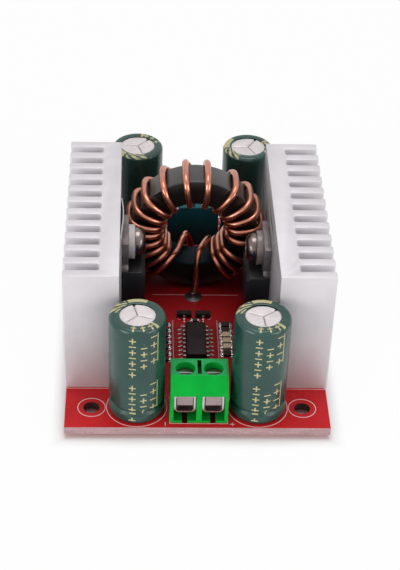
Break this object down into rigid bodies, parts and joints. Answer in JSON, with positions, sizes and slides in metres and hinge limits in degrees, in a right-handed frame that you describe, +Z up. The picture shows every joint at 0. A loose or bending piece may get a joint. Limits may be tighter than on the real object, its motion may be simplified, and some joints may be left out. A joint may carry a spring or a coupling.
{
  "type": "boost converter module",
  "caption": "Voltage step-up module: red circuit board with an upright wound ring coil between finned heat sinks, electrolytic capacitors and screw terminals at the ends.",
  "frame": {"origin": "centre of the base: the middle of the board in plan, at the tips of the solder joints", "axes": "+Z up from the board; +Y along the board from the input end to the output end; +X to the right as seen from the input end"},
  "size_m": [0.0486, 0.067, 0.0295],
  "materials": {
    "board_red": "red solder mask over glass fibre laminate",
    "sink_metal": "satin extruded aluminium",
    "core_black": "black coated pressed metal powder",
    "copper_wire": "enamelled copper",
    "can_metal": "bright drawn aluminium",
    "sleeve_green": "dark green shrink sleeve",
    "seal_rubber": "black rubber",
    "terminal_green": "bright green moulding",
    "screw_brass": "bare brass",
    "screw_steel": "plated steel",
    "trimmer_blue": "blue moulding",
    "mould_black": "black moulding compound",
    "tab_metal": "tinned copper",
    "film_grey": "pale insulating film",
    "bush_grey": "pale grey nylon",
    "resistor_dark": "dark glazed ceramic",
    "ceramic_tan": "tan ceramic",
    "tinned_metal": "tin and solder"
  },
  "bodies": {
    "module": {"circuit_board": "board_red", "left_heatsink": "sink_metal", "right_heatsink": "sink_metal", "heatsink_pins": "tinned_metal", "coil_core": "core_black", "coil_winding": "copper_wire", "front_left_can": "can_metal", "front_left_sleeve": "sleeve_green", "front_left_seal": "seal_rubber", "front_left_leads": "tinned_metal", "front_right_can": "can_metal", "front_right_sleeve": "sleeve_green", "front_right_seal": "seal_rubber", "front_right_leads": "tinned_metal", "rear_left_can": "can_metal", "rear_left_sleeve": "sleeve_green", "rear_left_seal": "seal_rubber", "rear_left_leads": "tinned_metal", "rear_right_can": "can_metal", "rear_right_sleeve": "sleeve_green", "rear_right_seal": "seal_rubber", "rear_right_leads": "tinned_metal", "front_terminal": "terminal_green", "front_contacts": "tinned_metal", "rear_terminal": "terminal_green", "rear_contacts": "tinned_metal", "left_device": "mould_black", "left_tab": "tab_metal", "left_device_leads": "tinned_metal", "left_film": "film_grey", "left_bush": "bush_grey", "left_fixing": "screw_steel", "right_device": "mould_black", "right_tab": "tab_metal", "right_device_leads": "tinned_metal", "right_film": "film_grey", "right_bush": "bush_grey", "right_fixing": "screw_steel", "left_trimmer": "trimmer_blue", "left_trimmer_pins": "tinned_metal", "right_trimmer": "trimmer_blue", "right_trimmer_pins": "tinned_metal", "controller": "mould_black", "controller_leads": "tinned_metal", "transistors": "mould_black", "transistor_leads": "tinned_metal", "chip_resistors": "resistor_dark", "chip_capacitors": "ceramic_tan", "chip_ends": "tinned_metal", "solder_joints": "tinned_metal"},
    "front_left_screw": {"front_left_screw": "screw_steel"},
    "front_left_cage": {"front_left_cage": "screw_steel"},
    "front_right_screw": {"front_right_screw": "screw_steel"},
    "front_right_cage": {"front_right_cage": "screw_steel"},
    "rear_left_screw": {"rear_left_screw": "screw_steel"},
    "rear_left_cage": {"rear_left_cage": "screw_steel"},
    "rear_right_screw": {"rear_right_screw": "screw_steel"},
    "rear_right_cage": {"rear_right_cage": "screw_steel"},
    "left_trimmer_screw": {"left_trimmer_screw": "screw_brass"},
    "right_trimmer_screw": {"right_trimmer_screw": "screw_brass"}
  },
  "joints": [
    {"name": "front_left_screw_turn", "type": "hinge", "parent": "module", "child": "front_left_screw", "pos_m": [-0.00235, -0.02786, 0.0101], "axis": [0, 0, 1], "range_deg": [-972.5, 576.5]},
    {"name": "front_left_cage_rise", "type": "slide", "parent": "module", "child": "front_left_cage", "axis": [0, 0, 1], "range_m": [-0.0008, 0.00135]},
    {"name": "front_right_screw_turn", "type": "hinge", "parent": "module", "child": "front_right_screw", "pos_m": [0.00275, -0.02786, 0.0101], "axis": [0, 0, 1], "range_deg": [-972.5, 576.5]},
    {"name": "front_right_cage_rise", "type": "slide", "parent": "module", "child": "front_right_cage", "axis": [0, 0, 1], "range_m": [-0.0008, 0.00135]},
    {"name": "rear_left_screw_turn", "type": "hinge", "parent": "module", "child": "rear_left_screw", "pos_m": [-0.0022, 0.02616, 0.0101], "axis": [0, 0, 1], "range_deg": [-972.5, 576.5]},
    {"name": "rear_left_cage_rise", "type": "slide", "parent": "module", "child": "rear_left_cage", "axis": [0, 0, 1], "range_m": [-0.0008, 0.00135]},
    {"name": "rear_right_screw_turn", "type": "hinge", "parent": "module", "child": "rear_right_screw", "pos_m": [0.0029, 0.02616, 0.0101], "axis": [0, 0, 1], "range_deg": [-972.5, 576.5]},
    {"name": "rear_right_cage_rise", "type": "slide", "parent": "module", "child": "rear_right_cage", "axis": [0, 0, 1], "range_m": [-0.0008, 0.00135]},
    {"name": "left_trimmer_screw_turn", "type": "hinge", "parent": "module", "child": "left_trimmer_screw", "pos_m": [-0.01095, -0.02005, 0.0122], "axis": [0, 0, 1], "continuous": true},
    {"name": "right_trimmer_screw_turn", "type": "hinge", "parent": "module", "child": "right_trimmer_screw", "pos_m": [0.01095, -0.02005, 0.0122], "axis": [0, 0, 1], "continuous": true}
  ],
  "couplings": [
    {"joint": "front_left_screw_turn", "follows": "front_left_cage_rise", "rad_per_m": -12566},
    {"joint": "front_right_screw_turn", "follows": "front_right_cage_rise", "rad_per_m": -12566},
    {"joint": "rear_left_screw_turn", "follows": "rear_left_cage_rise", "rad_per_m": -12566},
    {"joint": "rear_right_screw_turn", "follows": "rear_right_cage_rise", "rad_per_m": -12566}
  ]
}
